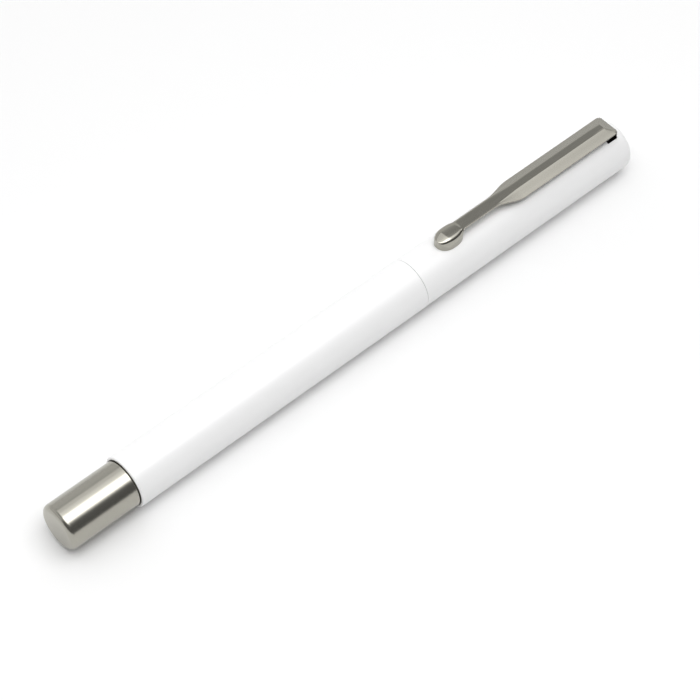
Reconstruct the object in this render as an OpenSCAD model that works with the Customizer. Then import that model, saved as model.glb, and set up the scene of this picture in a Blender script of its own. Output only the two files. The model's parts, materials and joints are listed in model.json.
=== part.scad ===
// Capped pocket pen with a fibre tip and an ink cartridge, for testing banknotes.
// It lies along X with its cap end towards +X and its clip upwards.
// The origin is below the middle of the closed pen, on the surface that it lies on.

/* [Barrel] */
// Outer diameter of the barrel, the widest part of the pen
barrel_d = 10.4; // [10.3:0.1:11]
// Length of the barrel tube
barrel_len = 67.5; // [66:0.5:80]
// Wall thickness of the barrel tube
wall = 0.75; // [0.7:0.05:0.8]

/* [Cap] */
// Outer diameter of the cap
cap_d = 10.28; // [10.2:0.02:10.5]
// Length of the cap from its mouth to its closed end
cap_len = 53.3; // [52:0.1:60]
// Radius of the rounded edge round the cap's closed end
cap_edge = 1.3; // [0.6:0.1:1.8]

/* [Tail cup] */
// Outer diameter of the tail cup
tail_d = 9.2; // [9.1:0.1:9.3]
// Length of the tail cup that shows behind the barrel
tail_len = 14.9; // [12:0.1:18]
// Radius of the rounded edge round the tail cup's closed end
tail_edge = 1.1; // [0.7:0.1:1.6]
// Sheet thickness of the tail cup
tail_sheet = 0.4; // [0.3:0.05:0.5]

/* [Clip] */
// Width of the clip's broad part
clip_w = 5.4; // [4.6:0.1:5.6]
// Width of the clip's neck
neck_w = 2.7; // [2.2:0.1:3.2]
// Width of the flat crest along the top of the clip
crest_w = 1.5; // [1:0.1:1.8]
// Sheet thickness of the clip
clip_sheet = 0.45; // [0.35:0.05:0.5]
// Height of the crest above the pen's axis
crest_h = 7.4; // [7.2:0.1:8]
// Length of the oval pad at the clip's free end
pad_len = 6.2; // [5:0.2:7]
// Width of the oval pad
pad_w = 4; // [3.4:0.1:4.4]

/* [Writing section] */
// Radius of the grip just in front of its collar
grip_rear_r = 4.05; // [3.8:0.05:4.1]
// Radius of the grip where it meets the nose cone
grip_front_r = 3.45; // [3.3:0.05:3.6]
// Number of grip grooves
grip_grooves = 12; // [6:1:14]
// Distance from one thread turn to the next
thread_pitch = 1; // [0.8:0.05:1.05]
// Number of thread turns between the writing section and the barrel
thread_turns = 5; // [3:1:5]

/* [Cartridge] */
// Outer diameter of the cartridge tube
cartridge_d = 5.6; // [5.4:0.1:5.6]
// Wall thickness of the cartridge tube
cartridge_wall = 0.5; // [0.4:0.05:0.6]
// Diameter of the fibre nib
nib_d = 2; // [1.6:0.1:2.1]
// Length of nib that shows in front of the nose cone
nib_out = 2.5; // [2:0.1:3]
// Number of turns of the spring behind the cartridge
spring_turns = 5; // [3:1:7]

/* [Hidden] */
$fn = 96;

// Clearances: between pieces fixed together, and between pieces that slide or turn
fit = 0.02;
run = 0.05;

// Stations along the pen, from the tail to the cap's end
seam_gap = 0.1;
tail_x = -(tail_len + barrel_len + seam_gap + cap_len) / 2;
step_x = tail_x + tail_len;
seam_x = step_x + barrel_len;
mouth_x = seam_x + seam_gap;
end_x = mouth_x + cap_len;

// Radii that the pieces share
axis_z = barrel_d / 2;
barrel_r = barrel_d / 2;
bore_r = barrel_r - wall;
cap_r = cap_d / 2;
cap_bore_r = 4.45;
socket_r = tail_d / 2 + 0.23;
cartridge_r = cartridge_d / 2;
cartridge_bore_r = cartridge_r - cartridge_wall;
nib_r = nib_d / 2;

// The cap's outside draws in very slightly over its mouth's last half millimetre
mouth_lead = 0.5;
mouth_draft = 0.03;

// Pieces in the cap's closed end
cap_floor = 1.2;
anchor_len = 4.6;
anchor_x1 = end_x - cap_floor - run;
anchor_x0 = anchor_x1 - anchor_len;
liner_len = 15.5;
liner_floor = 0.8;
liner_r = 3.68;
liner_x1 = anchor_x0 - run;
liner_x0 = liner_x1 - liner_len;

// Writing section and nib
nib_x = liner_x1 - liner_floor - 1.2;
nose_x1 = nib_x - nib_out;
nose_len = 8;
nose_x0 = nose_x1 - nose_len;
nose_tip_r = nib_r + 0.55;
spigot_len = 12;
spigot_r = 3.92;
thread_depth = 0.3;
thread_x0 = seam_x - 7.5;
collar_r = 4.3;
trim_len = 2;
collar_len = 3.5;
collar_x0 = seam_x + trim_len + run;
collar_x1 = collar_x0 + collar_len;
snout_r = 1.78;
seat_x = nose_x0 - 1.95;
ring_wire_r = 0.35;
ring_x = collar_x0 + 2.1;
ring_r = cap_bore_r - run - ring_wire_r;
seal_wire_r = 0.35;
seal_x = nose_x0 - 0.9;
seal_r = liner_r - run - seal_wire_r;

// Cartridge, from its front flange back to its vented plug
flange_len = 1.5;
flange_x1 = seat_x - run;
tube_x1 = flange_x1 - flange_len;
holder_insert = 6;
reservoir_x1 = tube_x1 - holder_insert - 0.2;
nib_depth = 3.5;
spigot_tail = 3;
plug_insert = 3.5;
seat_floor = 0.8;
spring_len = 5.2;
tail_bush_x = step_x + 9;
spring_x0 = tail_bush_x + seat_floor;
spring_x1 = spring_x0 + spring_len;
plug_flange = 1.5;
tube_x0 = spring_x1 + plug_flange;
reservoir_x0 = tube_x0 + plug_insert + 0.2;
spring_wire_r = 0.22;
spring_r = 2.2;

// Tail joint: the cup's mouth is rolled in over the plug just behind the barrel's end
socket_depth = 4;
cup_depth = 1.5;
neck_r = tail_d / 2 - 0.2;
neck_x = step_x - 0.3;

// Clip stations, measured from the cap's mouth, and the heights of its lower edges
pad_x = 9.6;
neck_x0 = 12;
neck_x1 = 20.5;
broad_x0 = 26.4;
bevel_x0 = 49.1;
plate_x1 = cap_len - 2.1;
edge_h = crest_h - 1;
neck_edge_h = crest_h - 0.2;
tang_w = 3.6;
tang_low = 2.2;
tang_gap = 0.2;

// A solid of revolution round the pen's axis, from an outline of [radius, x] points
module turned() {
    translate([0, 0, axis_z])
        rotate([0, 90, 0])
            rotate_extrude()
                children();
}

// A band of the outline from one radius to another, between two stations
module band(r0, r1, x0, x1) {
    translate([r0, x0])
        square([r1 - r0, x1 - x0]);
}

// A band from the axis outwards whose outer edge at x0 is rounded
module rounded_low(r, x0, x1, edge) {
    band(0, r, x0 + edge, x1);
    band(0, r - edge, x0, x1);
    translate([r - edge, x0 + edge])
        circle(r = edge);
}

// A band from the axis outwards whose outer edge at x1 is rounded
module rounded_high(r, x0, x1, edge) {
    band(0, r, x0, x1 - edge);
    band(0, r - edge, x0, x1);
    translate([r - edge, x1 - edge])
        circle(r = edge);
}

// A square groove for a wire ring of radius r at station x, with half width and depth w
module ring_groove(x, r, w) {
    band(r - w, collar_r + 1, x - w, x + w);
}

// The space that the clip's tang needs inside the cap
module tang_slot() {
    slot_x = mouth_x + plate_x1 - clip_sheet - tang_gap;
    slot_w = tang_w + 2 * tang_gap;
    translate([slot_x, -slot_w / 2, axis_z + tang_low - tang_gap])
        cube([clip_sheet + 2 * tang_gap, slot_w, cap_r]);
}

module cap_shell() {
    color("white")
        difference() {
            turned()
                difference() {
                    rounded_high(cap_r, mouth_x, end_x, cap_edge);
                    band(0, cap_bore_r, mouth_x - 1, end_x - cap_floor);
                    polygon([
                        [0, mouth_x - 0.1],
                        [cap_bore_r + 0.35, mouth_x - 0.1],
                        [cap_bore_r - 0.05, mouth_x + 0.3],
                        [0, mouth_x + 0.3]
                    ]);
                    polygon([
                        [cap_r - mouth_draft, mouth_x - 0.1],
                        [cap_r + 1, mouth_x - 0.1],
                        [cap_r + 1, mouth_x + mouth_lead],
                        [cap_r, mouth_x + mouth_lead]
                    ]);
                }
            tang_slot();
        }
}

// One cross-section of the clip's channel: x, half width, half crest, crest height, edge height
function channel_ring(x, w, c, top, edge) = [
    [x, w, edge], [x, c, top], [x, -c, top], [x, -w, edge],
    [x, -w, edge - clip_sheet], [x, -c, top - clip_sheet], [x, c, top - clip_sheet], [x, w, edge - clip_sheet]
];

module clip_channel() {
    rings = [
        channel_ring(neck_x0, neck_w / 2, crest_w / 2, crest_h, neck_edge_h),
        channel_ring(neck_x1, neck_w / 2, crest_w / 2, crest_h, neck_edge_h),
        channel_ring(broad_x0, clip_w / 2, crest_w / 2, crest_h, edge_h),
        channel_ring(bevel_x0, clip_w / 2, crest_w / 2, crest_h, edge_h),
        channel_ring(plate_x1, clip_w / 2, clip_w / 2 - 0.02, edge_h + 0.02, edge_h)
    ];
    n = len(rings[0]);
    last = (len(rings) - 1) * n;
    sides = [
        for (k = [0 : len(rings) - 2], i = [0 : n - 1])
            let (j = (i + 1) % n, a = k * n + i, b = k * n + j)
            each [[a, a + n, b], [b, a + n, b + n]]
    ];
    ends = [for (e = [0, 1, 2]) each [
        [e, e + 1, n - 1 - e],
        [e + 1, n - 2 - e, n - 1 - e],
        [last + e + 1, last + e, last + n - 1 - e],
        [last + n - 2 - e, last + e + 1, last + n - 1 - e]
    ]];
    polyhedron(points = [for (ring = rings) each ring], faces = concat(sides, ends));
}

// The oval pad's outside, or with an inset its hollow
module pad_form(inset, top) {
    r = pad_w / 2 - inset;
    hull()
        for (side = [-1, 1])
            translate([pad_x + side * (pad_len - pad_w) / 2, 0, 0]) {
                cylinder(r = r, h = top - 0.7, $fn = 40);
                cylinder(r = r - 0.6, h = top, $fn = 40);
            }
}

module clip() {
    color("silver")
        translate([mouth_x, 0, axis_z]) {
            clip_channel();
            difference() {
                pad_form(0, crest_h + 0.1);
                pad_form(clip_sheet, crest_h + 0.1 - clip_sheet);
                translate([pad_x - pad_len, 0, 0])
                    rotate([0, 90, 0])
                        cylinder(r = cap_r + run, h = 2 * pad_len);
            }
            difference() {
                translate([plate_x1 - clip_sheet, -clip_w / 2, 0])
                    cube([clip_sheet, clip_w, edge_h]);
                translate([plate_x1 - 2, 0, 0])
                    rotate([0, 90, 0])
                        cylinder(r = cap_r + 2 * run, h = 4);
            }
            translate([plate_x1 - clip_sheet, -tang_w / 2, tang_low])
                cube([clip_sheet, tang_w, edge_h - tang_low]);
        }
}

module clip_anchor() {
    color("dimgray")
        difference() {
            turned()
                difference() {
                    band(0, cap_bore_r - fit, anchor_x0, anchor_x1);
                    band(0, 1.2, anchor_x0 - 1, anchor_x1 - 1.5);
                }
            tang_slot();
        }
}

module inner_cap() {
    color("ghostwhite")
        difference() {
            turned()
                difference() {
                    band(0, cap_bore_r - fit, liner_x0, liner_x1);
                    band(0, liner_r, liner_x0 - 1, liner_x1 - liner_floor);
                    polygon([
                        [0, liner_x0 - 0.1],
                        [liner_r + 0.3, liner_x0 - 0.1],
                        [liner_r - 0.1, liner_x0 + 0.5],
                        [0, liner_x0 + 0.5]
                    ]);
                }
            for (turn = [0 : 60 : 300])
                translate([liner_x0 - 1, 0, axis_z])
                    rotate([turn, 0, 0])
                        translate([0, 0, cap_bore_r])
                            rotate([0, 90, 0])
                                cylinder(r = 0.3, h = liner_len + 2, $fn = 24);
        }
}

module snap_ring() {
    color("silver")
        translate([ring_x, 0, axis_z])
            rotate([0, 90, 0])
                rotate_extrude(angle = 330)
                    translate([ring_r, 0])
                        circle(r = ring_wire_r, $fn = 32);
}

module grip_section() {
    groove_step = (nose_x0 - collar_x1 - 8) / grip_grooves;
    color("white")
        turned()
            difference() {
                union() {
                    band(0, spigot_r - thread_depth, seam_x - spigot_len, seam_x);
                    for (i = [0 : thread_turns - 1])
                        translate([0, thread_x0 + i * thread_pitch])
                            polygon([
                                [spigot_r - thread_depth - 0.1, 0],
                                [spigot_r, 0.3],
                                [spigot_r, 0.45],
                                [spigot_r - thread_depth - 0.1, 0.75]
                            ]);
                    band(0, spigot_r, seam_x - 2, collar_x0);
                    band(0, collar_r, collar_x0, collar_x1);
                    polygon([
                        [0, collar_x1],
                        [grip_rear_r, collar_x1],
                        [grip_front_r, nose_x0],
                        [0, nose_x0]
                    ]);
                    band(0, 2.6, nose_x0, nose_x0 + 3);
                }
                band(0, cartridge_r + run, seam_x - spigot_len - 1, seat_x);
                band(0, snout_r + run, seat_x - 1, nose_x0 + 4);
                ring_groove(ring_x, ring_r, ring_wire_r + run);
                ring_groove(seal_x, seal_r, seal_wire_r + fit);
                for (i = [0 : grip_grooves - 1])
                    band(
                        grip_rear_r - (i + 0.5) * (grip_rear_r - grip_front_r) / grip_grooves - 0.25,
                        grip_rear_r + 1,
                        collar_x1 + 4 + i * groove_step,
                        collar_x1 + 4.8 + i * groove_step
                    );
            }
}

module trim_ring() {
    color("silver")
        turned()
            difference() {
                band(spigot_r + fit, cap_bore_r - 0.07, seam_x + fit, seam_x + trim_len);
                band(cap_bore_r - 0.22, cap_bore_r, seam_x + 0.9, seam_x + 1.1);
            }
}

module nose_cone() {
    color("silver")
        turned()
            difference() {
                polygon([
                    [0, nose_x0 + fit],
                    [grip_front_r, nose_x0 + fit],
                    [grip_front_r, nose_x0 + 1],
                    [nose_tip_r + 0.15, nose_x1 - 0.3],
                    [nose_tip_r, nose_x1],
                    [0, nose_x1]
                ]);
                band(0, 2.6 + fit, nose_x0 - 1, nose_x0 + 3 + fit);
                band(0, snout_r + run, nose_x0 - 1, nose_x1 - 2.9);
                band(0, nib_r + run, nose_x0 - 1, nose_x1 + 1);
            }
}

module nose_seal() {
    color("black")
        turned()
            translate([seal_r, seal_x])
                circle(r = seal_wire_r, $fn = 32);
}

module fibre_nib() {
    color("wheat")
        turned()
            polygon([
                [0, reservoir_x1 - nib_depth],
                [nib_r, reservoir_x1 - nib_depth],
                [nib_r, nose_x1 + 0.4],
                [0.7 * nib_r, nib_x - 0.7],
                [0.35 * nib_r, nib_x - 0.15],
                [0.12 * nib_r, nib_x],
                [0, nib_x]
            ]);
}

module nib_holder() {
    color("white")
        turned()
            difference() {
                union() {
                    band(0, cartridge_bore_r - fit, tube_x1 - holder_insert, tube_x1);
                    band(0, cartridge_r, tube_x1 + fit, flange_x1);
                    band(0, cartridge_bore_r - fit, tube_x1, flange_x1);
                    band(0, snout_r, flange_x1, nose_x1 - 3.1);
                }
                band(0, nib_r + fit, tube_x1 - holder_insert - 1, nose_x1);
            }
}

module cartridge_tube() {
    color("lightgray")
        turned()
            band(cartridge_bore_r, cartridge_r, tube_x0, tube_x1);
}

module ink_reservoir() {
    color("peru")
        turned()
            difference() {
                band(0, cartridge_bore_r - 0.17, reservoir_x0, reservoir_x1);
                band(0, nib_r + fit, reservoir_x1 - nib_depth - fit, reservoir_x1 + 1);
            }
}

module reservoir_film() {
    color("whitesmoke")
        turned()
            band(cartridge_bore_r - 0.15, cartridge_bore_r - run, reservoir_x0, reservoir_x1);
}

module cartridge_plug() {
    color("firebrick")
        turned()
            difference() {
                union() {
                    band(0, cartridge_bore_r - fit, tube_x0 - 0.5, tube_x0 + plug_insert);
                    band(0, cartridge_r, spring_x1, tube_x0 - fit);
                    band(0, 1.5, spring_x1 - spigot_tail, spring_x1 + 0.5);
                }
                band(0, 0.5, spring_x1 - spigot_tail - 1, tube_x0 + plug_insert + 1);
            }
}

// Points of the spring's wire: a helix whose end turns lie flat
module refill_spring() {
    steps = spring_turns * 20;
    sides = 8;
    start_x = spring_x0 + run + spring_wire_r;
    travel = spring_len - 2 * spring_wire_r - 2 * run;
    rings = [
        for (s = [0 : steps])
            let (a = 360 * spring_turns * s / steps, x = start_x + travel * s / steps)
            [for (q = [0 : sides - 1])
                let (b = 360 * q / sides, r = spring_r + spring_wire_r * cos(b))
                [x + spring_wire_r * sin(b), r * cos(a), axis_z + r * sin(a)]]
    ];
    walls = [
        for (s = [0 : steps - 1], q = [0 : sides - 1])
            let (p = (q + 1) % sides, a = s * sides + q, b = s * sides + p)
            each [[a, b, a + sides], [b, b + sides, a + sides]]
    ];
    caps = [
        [for (q = [sides - 1 : -1 : 0]) q],
        [for (q = [0 : sides - 1]) steps * sides + q]
    ];
    color("silver")
        polyhedron(points = [for (ring = rings) each ring], faces = concat(walls, caps));
}

module spring_seat() {
    color("dimgray")
        turned()
            difference() {
                union() {
                    band(0, bore_r - run, tail_bush_x + run, tail_bush_x + 1.6);
                    band(0, cartridge_r + 0.9, tail_bush_x + run, tail_bush_x + 10);
                    band(0, bore_r - run, tail_bush_x + 8.8, tail_bush_x + 10);
                }
                band(0, cartridge_r + 0.1, spring_x0, tail_bush_x + 11);
                band(0, 1.8, tail_bush_x - 1, spring_x0 + 1);
            }
}

module barrel_tube() {
    color("white")
        turned()
            difference() {
                polygon([
                    [0, step_x],
                    [barrel_r - 0.15, step_x],
                    [barrel_r, step_x + 0.15],
                    [barrel_r, seam_x - 0.08],
                    [barrel_r - 0.08, seam_x],
                    [0, seam_x]
                ]);
                band(0, bore_r, step_x - 1, seam_x + 1);
                band(0, socket_r, step_x - 1, step_x + socket_depth);
            }
}

module thread_bush() {
    color("goldenrod")
        turned()
            difference() {
                band(spigot_r + 0.08, bore_r - fit, thread_x0, seam_x - 0.1);
                for (i = [0 : thread_turns - 1])
                    translate([spigot_r, thread_x0 + 0.3 + i * thread_pitch])
                        polygon([[0, -0.25], [0.26, 0], [0.26, 0.15], [0, 0.4]]);
            }
}

module tail_cup() {
    color("silver")
        turned()
            difference() {
                union() {
                    rounded_low(tail_d / 2, tail_x, neck_x, tail_edge);
                    band(0, neck_r, neck_x - 0.1, step_x + cup_depth);
                }
                rounded_low(
                    tail_d / 2 - tail_sheet,
                    tail_x + tail_sheet,
                    neck_x - tail_sheet,
                    tail_edge - tail_sheet
                );
                band(0, neck_r - tail_sheet, neck_x - 1, step_x + cup_depth + 1);
            }
}

module tail_plug() {
    color("dimgray")
        turned()
            difference() {
                union() {
                    band(0, tail_d / 2 - tail_sheet - fit, step_x - 7, neck_x - tail_sheet - fit);
                    band(0, neck_r - tail_sheet - fit, neck_x - 1, step_x + socket_depth);
                    band(0, socket_r - fit, step_x + cup_depth + fit, step_x + socket_depth - fit);
                    band(0, bore_r - fit, step_x + socket_depth - fit, tail_bush_x);
                }
                band(0, 3.3, step_x - 8, tail_bush_x - 2.5);
            }
}

cap_shell();
clip();
clip_anchor();
inner_cap();
snap_ring();
grip_section();
trim_ring();
nose_cone();
nose_seal();
fibre_nib();
nib_holder();
cartridge_tube();
ink_reservoir();
reservoir_film();
cartridge_plug();
refill_spring();
spring_seat();
barrel_tube();
thread_bush();
tail_cup();
tail_plug();
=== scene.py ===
"""Finished surfaces, stage and camera for a capped pen with a fibre tip that marks banknotes."""

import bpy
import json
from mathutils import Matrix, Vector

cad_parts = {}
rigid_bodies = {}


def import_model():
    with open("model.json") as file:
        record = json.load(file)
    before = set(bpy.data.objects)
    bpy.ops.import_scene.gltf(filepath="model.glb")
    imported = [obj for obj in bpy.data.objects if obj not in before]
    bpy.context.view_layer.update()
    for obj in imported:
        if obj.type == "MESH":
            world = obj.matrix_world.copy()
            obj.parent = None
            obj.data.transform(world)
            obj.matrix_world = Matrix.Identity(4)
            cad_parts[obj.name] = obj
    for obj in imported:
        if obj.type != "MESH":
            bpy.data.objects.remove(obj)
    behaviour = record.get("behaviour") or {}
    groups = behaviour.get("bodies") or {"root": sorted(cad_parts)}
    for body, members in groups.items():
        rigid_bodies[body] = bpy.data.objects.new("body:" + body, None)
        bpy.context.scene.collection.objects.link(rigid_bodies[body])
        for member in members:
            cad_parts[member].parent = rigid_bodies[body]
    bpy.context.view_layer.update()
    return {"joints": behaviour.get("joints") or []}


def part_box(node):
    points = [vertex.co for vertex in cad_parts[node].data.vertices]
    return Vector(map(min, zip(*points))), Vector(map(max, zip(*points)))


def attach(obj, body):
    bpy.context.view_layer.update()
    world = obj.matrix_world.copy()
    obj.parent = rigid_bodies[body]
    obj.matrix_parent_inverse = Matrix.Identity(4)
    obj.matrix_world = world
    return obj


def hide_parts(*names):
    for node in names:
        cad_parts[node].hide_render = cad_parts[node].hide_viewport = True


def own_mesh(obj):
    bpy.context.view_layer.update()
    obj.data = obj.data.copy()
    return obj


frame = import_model()

import json
import math

import bmesh
import bpy
from bpy.props import FloatProperty, FloatVectorProperty, IntProperty, PointerProperty
from mathutils import Matrix, Vector

bl_info = {
    "name": "Banknote Tester Pen",
    "version": (1, 0, 0),
    "blender": (4, 5, 0),
    "location": "View3D > Sidebar > Tester Pen",
    "description": "Builds the finished surfaces of a capped fibre-tip pen on its packed frame",
    "category": "Add Mesh",
}

MM = 0.001


# ---------------------------------------------------------------- places taken from the frame


def span(node):
    """Lowest x, highest x and outer radius of a turned node, in millimetres."""
    low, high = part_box(node)
    return low.x / MM, high.x / MM, (high.y - low.y) / 2 / MM


BARREL_X0, BARREL_X1, BARREL_R = span("barrel_tube")
CAP_X0, CAP_X1, CAP_R = span("cap_shell")
AXIS_Z = sum(corner.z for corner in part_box("barrel_tube")) / 2 / MM
FIT = 0.02
RUN = 0.05
BORE_R = span("thread_bush")[2] + FIT
CAP_BORE_R = span("clip_anchor")[2] + FIT
SOCKET_R = span("tail_plug")[2] + FIT
CARTRIDGE_R = span("cartridge_tube")[2]
NIB_R = span("fibre_nib")[2]


# ---------------------------------------------------------------- sizes and colours


class PenSizes(bpy.types.PropertyGroup):
    """Sizes of the edges and of what repeats."""

    cap_edge: FloatProperty(
        name="Cap edge", description="Radius of the rounded edge round the cap's closed end",
        default=1.3 * MM, min=0.6 * MM, max=1.8 * MM, unit="LENGTH")
    cup_edge: FloatProperty(
        name="Cup edge", description="Radius of the rounded edge round the steel cup's end",
        default=1.1 * MM, min=0.6 * MM, max=1.6 * MM, unit="LENGTH")
    rim_round: FloatProperty(
        name="Rim rounding", description="Radius on the rims where barrel and cap meet",
        default=0.09 * MM, min=0.02 * MM, max=0.2 * MM, unit="LENGTH")
    clip_sheet: FloatProperty(
        name="Clip sheet", description="Thickness of the clip's sheet",
        default=0.42 * MM, min=0.3 * MM, max=0.5 * MM, unit="LENGTH")
    grip_ribs: IntProperty(
        name="Grip ribs", description="Number of ribs round the writing section", default=13, min=6, max=15)
    thread_turns: IntProperty(
        name="Thread turns", description="Number of turns of the barrel's thread", default=5, min=3, max=5)
    spring_turns: FloatProperty(
        name="Spring turns", description="Number of turns of the spring behind the cartridge",
        default=6.0, min=4.0, max=8.0)
    liner_guides: IntProperty(
        name="Liner guides", description="Number of ribs that centre the cap's liner",
        default=24, min=12, max=36)


COLOUR = {"subtype": "COLOR", "size": 3, "min": 0, "max": 1}


class PenColours(bpy.types.PropertyGroup):
    """Colours of the finishes."""

    plastic: FloatVectorProperty(
        name="White plastic", description="Barrel and cap",
        default=(0.91, 0.91, 0.91), **COLOUR)
    section: FloatVectorProperty(
        name="Section plastic", description="Writing section",
        default=(0.8, 0.8, 0.79), **COLOUR)
    steel: FloatVectorProperty(
        name="Brushed steel", description="Tail cup and clip",
        default=(0.43, 0.418, 0.372), **COLOUR)
    bright_steel: FloatVectorProperty(
        name="Bright steel", description="Trim ring, nose cone and wires",
        default=(0.62, 0.61, 0.58), **COLOUR)
    brass: FloatVectorProperty(
        name="Brass", description="Thread bush",
        default=(0.72, 0.5, 0.2), **COLOUR)
    dark: FloatVectorProperty(
        name="Dark plastic", description="Plugs and seats inside the pen",
        default=(0.03, 0.03, 0.033), **COLOUR)
    ink: FloatVectorProperty(
        name="Ink", description="Test ink in the fibres",
        default=(0.3, 0.105, 0.018), **COLOUR)
    floor: FloatVectorProperty(
        name="Floor", description="Pale surface that the pen lies on",
        default=(0.91, 0.91, 0.91), **COLOUR)


# ---------------------------------------------------------------- node writing


class Wire:
    """A node's socket that arithmetic can be written on."""

    def __init__(self, nodes, socket):
        self.nodes = nodes
        self.socket = socket

    def __add__(self, other):
        return self.nodes.math("ADD", self, other)

    def __sub__(self, other):
        return self.nodes.math("SUBTRACT", self, other)

    def __rsub__(self, other):
        return self.nodes.math("SUBTRACT", other, self)

    def __mul__(self, other):
        return self.nodes.math("MULTIPLY", self, other)

    def __truediv__(self, other):
        return self.nodes.math("DIVIDE", self, other)

    def __rtruediv__(self, other):
        return self.nodes.math("DIVIDE", other, self)

    __radd__ = __add__
    __rmul__ = __mul__


class Nodes:
    """Adds nodes to one tree, from a node's type, its settings and its sockets' values or links."""

    def __init__(self, tree):
        self.tree = tree

    def add(self, kind, settings=None, sockets=None, out=0):
        node = self.tree.nodes.new(kind)
        for name, value in (settings or {}).items():
            if name == "stops":
                self.set_stops(node.color_ramp, value)
            else:
                setattr(node, name, value)
        for name, value in (sockets or {}).items():
            if isinstance(value, Wire):
                self.tree.links.new(value.socket, node.inputs[name])
            else:
                node.inputs[name].default_value = value
        return Wire(self, node.outputs[out]) if node.outputs else node

    def set_stops(self, ramp, stops):
        while len(ramp.elements) < len(stops):
            ramp.elements.new(0.5)
        for element, (place, colour) in zip(ramp.elements, stops):
            element.position = place
            element.color = colour

    def math(self, operation, first, second):
        return self.add("ShaderNodeMath", {"operation": operation}, {0: first, 1: second})

    def clamped(self, value):
        return self.add("ShaderNodeClamp", None, {"Value": value})

    def mix(self, factor, first, second):
        settings = {"data_type": "RGBA"}
        return self.add("ShaderNodeMix", settings, {"Factor": factor, 6: first, 7: second}, out=2)

    def ramp(self, value, low, high):
        sockets = {"Value": value, "From Min": low, "From Max": high}
        return self.add("ShaderNodeMapRange", {"interpolation_type": "SMOOTHSTEP"}, sockets)

    def noise(self, place, scale, detail=2.0, roughness=0.5):
        sockets = {"Vector": place, "Scale": scale, "Detail": detail, "Roughness": roughness}
        return self.add("ShaderNodeTexNoise", {"noise_dimensions": "3D"}, sockets)

    def stretched(self, place, scale):
        return self.add("ShaderNodeMapping", None, {"Vector": place, "Scale": scale})

    def bump(self, height, distance, strength=1.0):
        sockets = {"Height": height, "Distance": distance, "Strength": strength}
        return self.add("ShaderNodeBump", None, sockets)


class Finish(Nodes):
    """A material whose colour, roughness and surface come from its own node tree."""

    def __init__(self, slot):
        self.material = bpy.data.materials.new(slot + "_finish")
        self.material.use_nodes = True
        super().__init__(self.material.node_tree)
        self.tree.nodes.clear()
        self.place = self.add("ShaderNodeTexCoord", out="Object")

    def streaks(self, stretch, detail=2.0, roughness=0.5):
        """Noise with its own scale along each axis."""
        return self.noise(self.stretched(self.place, stretch), 1.0, detail, roughness)

    def close(self, constants=None, **varying):
        """Ends the tree in one Principled shader: constants stay on its sockets."""
        sockets = dict(constants or {})
        sockets.update({name.replace("_", " "): value for name, value in varying.items()})
        shader = self.add("ShaderNodeBsdfPrincipled", None, sockets)
        self.add("ShaderNodeOutputMaterial", None, {"Surface": shader})
        return self.material


def rgba(colour, level=1.0):
    """A colour with its brightness changed, as four numbers."""
    return tuple(min(1.0, c * level) for c in colour) + (1.0,)


# ---------------------------------------------------------------- finishes


def gloss_plastic(name, colour, roughness, peel):
    """Moulded plastic: a faint flow tint, fine mottling in its gloss and hairline rubs along its length."""
    finish = Finish(name)
    flow = finish.streaks((60, 190, 190), 3.0)
    grain = finish.noise(finish.place, 2600.0, 2.0)
    rubs = finish.ramp(finish.streaks((90, 4200, 4200), 2.0), 0.66, 0.74)
    tint = finish.mix(flow, rgba(colour, 0.975), rgba(colour, 1.01))
    height = flow * 0.5 + grain * 0.25
    return finish.close(
        {"Coat Roughness": 0.16, "IOR": 1.5},
        Base_Color=tint,
        Roughness=roughness + (grain - 0.5) * 0.06 + rubs * 0.05,
        Coat_Weight=0.25 - rubs * 0.1,
        Normal=finish.bump(height, peel * MM),
    )


def brushed_steel(name, colour, stretch, roughness, depth):
    """Steel with fine brush lines that run across the direction in which stretch is large."""
    finish = Finish(name)
    lines = finish.streaks(stretch, 4.0, 0.65)
    broad = finish.streaks(tuple(s * 0.12 for s in stretch), 2.0)
    cloud = finish.noise(finish.place, 240.0, 3.0)
    tint = finish.mix(lines * 0.6 + cloud * 0.4, rgba(colour, 0.93), rgba(colour, 1.07))
    return finish.close(
        {"Metallic": 1.0},
        Base_Color=tint,
        Roughness=roughness + (lines - 0.5) * 0.06 + (cloud - 0.5) * 0.04,
        Normal=finish.bump(lines + broad * 0.5, depth * MM),
    )


def polished_metal(name, colour, roughness):
    """Bright metal with wipe marks in its gloss and faint turning lines."""
    finish = Finish(name)
    wipes = finish.noise(finish.place, 420.0, 4.0)
    turning = finish.streaks((12000, 300, 300), 2.0)
    tint = finish.mix(wipes, rgba(colour, 0.95), rgba(colour, 1.04))
    return finish.close(
        {"Metallic": 1.0},
        Base_Color=tint,
        Roughness=roughness + wipes * 0.08 + turning * 0.04,
        Normal=finish.bump(turning, 0.001 * MM),
    )


def dull_plastic(name, colour, roughness):
    """Moulded plastic with a fine spark-eroded texture."""
    finish = Finish(name)
    texture = finish.noise(finish.place, 5200.0, 3.0)
    flow = finish.noise(finish.place, 240.0, 2.0)
    tint = finish.mix(flow, rgba(colour, 0.88), rgba(colour, 1.12))
    return finish.close(
        Base_Color=tint,
        Roughness=roughness + (texture - 0.5) * 0.15,
        Normal=finish.bump(texture, 0.012 * MM),
    )


def translucent_plastic(name, colour, low, high, roughness):
    """Milky or clear plastic whose cover varies between two values."""
    finish = Finish(name)
    cloud = finish.noise(finish.place, 300.0, 3.0)
    drawn = finish.streaks((40, 2600, 2600), 2.0)
    return finish.close(
        {"IOR": 1.49},
        Base_Color=finish.mix(cloud, rgba(colour, 0.96), rgba(colour, 1.02)),
        Alpha=low + (high - low) * cloud,
        Roughness=roughness + drawn * 0.06,
        Normal=finish.bump(drawn, 0.003 * MM),
    )


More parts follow.
